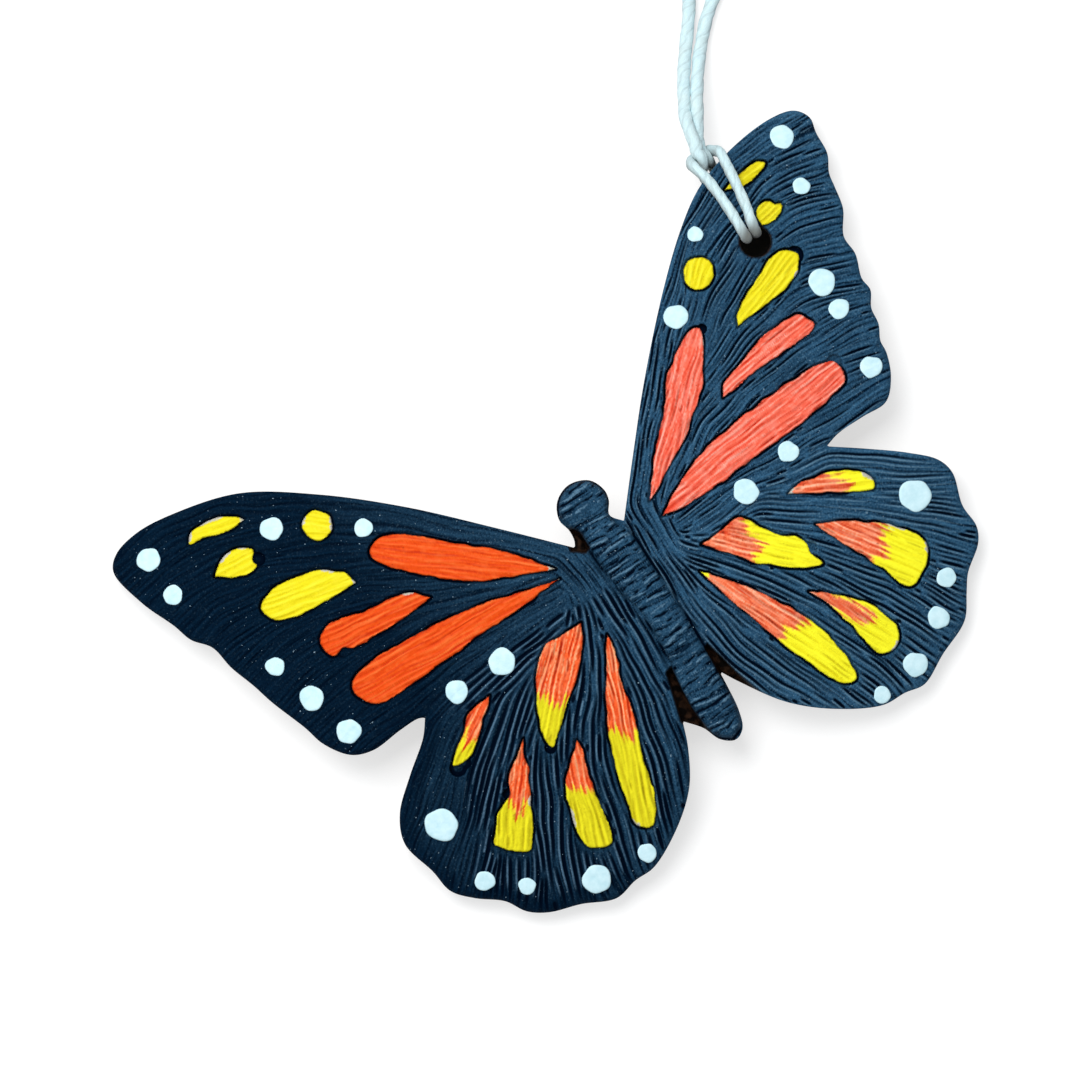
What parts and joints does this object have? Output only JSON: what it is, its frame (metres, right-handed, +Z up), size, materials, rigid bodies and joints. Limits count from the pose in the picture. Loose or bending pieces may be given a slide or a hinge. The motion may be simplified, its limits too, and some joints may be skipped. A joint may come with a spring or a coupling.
{
  "type": "butterfly ornament",
  "caption": "Butterfly ornament carved from gourd shell, domed, with recessed painted wing cells, raised white dots and a cotton hanging loop hitched through a wing hole.",
  "frame": {"origin": "on the table under the middle of the shell's plan box, cord left out", "axes": "+X across the wings to the right wing, +Y along the body to the head, +Z up out of the domed face"},
  "size_m": [0.1182, 0.1154, 0.0148],
  "materials": {
    "navy_paint": "satin paint over carved gourd shell",
    "orange_paint": "satin paint",
    "coral_paint": "satin paint",
    "flame_paint": "satin paint, orange running into yellow",
    "yellow_paint": "satin paint",
    "white_paint": "satin paint",
    "cotton_cord": "soft twisted cotton"
  },
  "bodies": {
    "ornament": {"gourd_shell": "navy_paint", "left_forewing_dot_1": "white_paint", "left_forewing_dot_2": "white_paint", "left_forewing_dot_3": "white_paint", "left_forewing_dot_4": "white_paint", "left_forewing_dot_5": "white_paint", "left_forewing_dot_6": "white_paint", "left_forewing_dot_7": "white_paint", "left_forewing_dot_8": "white_paint", "left_forewing_dot_9": "white_paint", "left_forewing_orange_1": "orange_paint", "left_forewing_orange_2": "orange_paint", "left_forewing_orange_3": "orange_paint", "left_forewing_yellow_1": "yellow_paint", "left_forewing_yellow_2": "yellow_paint", "left_forewing_yellow_3": "yellow_paint", "left_forewing_yellow_spot": "yellow_paint", "left_hindwing_dot_1": "white_paint", "left_hindwing_dot_2": "white_paint", "left_hindwing_dot_3": "white_paint", "left_hindwing_dot_4": "white_paint", "left_hindwing_dot_5": "white_paint", "left_hindwing_flame_1": "flame_paint", "left_hindwing_flame_2": "flame_paint", "left_hindwing_flame_3": "flame_paint", "left_hindwing_flame_4": "flame_paint", "left_hindwing_flame_5": "flame_paint", "right_forewing_coral_1": "coral_paint", "right_forewing_coral_2": "coral_paint", "right_forewing_coral_3": "coral_paint", "right_forewing_dot_1": "white_paint", "right_forewing_dot_2": "white_paint", "right_forewing_dot_3": "white_paint", "right_forewing_dot_4": "white_paint", "right_forewing_dot_5": "white_paint", "right_forewing_dot_6": "white_paint", "right_forewing_dot_7": "white_paint", "right_forewing_dot_8": "white_paint", "right_forewing_dot_9": "white_paint", "right_forewing_yellow_1": "yellow_paint", "right_forewing_yellow_2": "yellow_paint", "right_forewing_yellow_3": "yellow_paint", "right_forewing_yellow_spot": "yellow_paint", "right_hindwing_dot_1": "white_paint", "right_hindwing_dot_2": "white_paint", "right_hindwing_dot_3": "white_paint", "right_hindwing_dot_4": "white_paint", "right_hindwing_dot_5": "white_paint", "right_hindwing_flame_1": "flame_paint", "right_hindwing_flame_2": "flame_paint", "right_hindwing_flame_3": "flame_paint", "right_hindwing_flame_4": "flame_paint", "right_hindwing_flame_5": "flame_paint", "cord_hitch": "cotton_cord"},
    "cord_neck": {"cord_neck_left": "cotton_cord", "cord_neck_right": "cotton_cord"},
    "hanging_loop": {"cord_loop_left": "cotton_cord", "cord_loop_right": "cotton_cord", "cord_knot": "cotton_cord"}
  },
  "joints": [
    {"name": "loop_sway", "type": "hinge", "parent": "ornament", "child": "cord_neck", "pos_m": [0.03653, 0.0366, 0.00669], "axis": [0, 0, 1], "range_deg": [-45, 75]},
    {"name": "loop_lift", "type": "hinge", "parent": "cord_neck", "child": "hanging_loop", "pos_m": [0.03862, 0.0409, 0.005], "axis": [0.862, -0.507, 0], "range_deg": [0, 95]}
  ]
}
